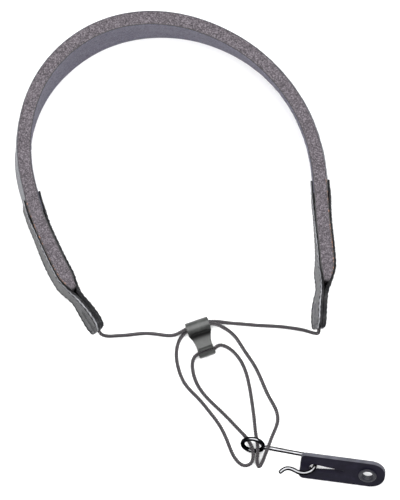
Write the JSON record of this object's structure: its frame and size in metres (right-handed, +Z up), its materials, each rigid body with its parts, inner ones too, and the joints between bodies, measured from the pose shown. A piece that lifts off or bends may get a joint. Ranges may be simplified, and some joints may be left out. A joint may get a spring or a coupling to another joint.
{
  "type": "padded instrument neck strap",
  "caption": "Curved foam neck pad with leather end tabs, a thin cord through a slide adjuster, a bent-wire hook and a slotted rubber tab.",
  "frame": {"origin": "middle of the pad's lower long edge at the back of the neck, on the surface that the strap lies on", "axes": "+X from the left end tab towards the right one; +Y from the hook towards the pad; +Z up from the surface, across the pad's width"},
  "size_m": [0.2399, 0.3033, 0.05],
  "materials": {
    "foam": "matte",
    "lining_fabric": "matte",
    "cover_fabric": "matte",
    "tab_leather": "satin",
    "thread": "matte",
    "braided_cord": "matte",
    "adjuster_plastic": "satin",
    "hook_chrome": "polished",
    "tab_rubber": "matte",
    "ring_plastic": "satin"
  },
  "bodies": {
    "pad": {"pad_foam_core": "foam", "pad_inner_lining": "lining_fabric", "pad_outer_cover": "cover_fabric", "left_tab_outer_leather": "tab_leather", "left_tab_inner_leather": "tab_leather", "right_tab_outer_leather": "tab_leather", "right_tab_inner_leather": "tab_leather", "left_tab_outer_seam": "thread", "left_tab_inner_seam": "thread", "right_tab_outer_seam": "thread", "right_tab_inner_seam": "thread", "cord_left_run": "braided_cord", "cord_right_run": "braided_cord"},
    "slider": {"slide_adjuster": "adjuster_plastic"},
    "cord_loop": {"cord_left_loop": "braided_cord", "cord_right_loop": "braided_cord"},
    "hook": {"hook_wire": "hook_chrome"},
    "thumb_tab": {"thumb_tab": "tab_rubber", "thumb_tab_ring": "ring_plastic"}
  },
  "joints": [
    {"name": "slider_slide", "type": "slide", "parent": "pad", "child": "slider", "axis": [0.4182, -0.9083, 0], "range_m": [0, 0.08], "deforming": ["cord_left_run", "cord_right_run", "cord_left_loop", "cord_right_loop"]},
    {"name": "loop_draw", "type": "slide", "parent": "slider", "child": "cord_loop", "axis": [0.4182, -0.9083, 0], "range_m": [-0.04, 0]},
    {"name": "hook_swing", "type": "hinge", "parent": "cord_loop", "child": "hook", "pos_m": [0.0523, -0.2713, 0.0073], "axis": [0, 0, 1], "range_deg": [-5, 20]},
    {"name": "thumb_tab_pivot", "type": "hinge", "parent": "hook", "child": "thumb_tab", "pos_m": [0.0923, -0.2847, 0.0089], "axis": [-0.1868, -0.9441, 0.2717], "range_deg": [-15, 25]}
  ],
  "couplings": [
    {"joint": "loop_draw", "follows": "slider_slide", "ratio": -0.5}
  ]
}
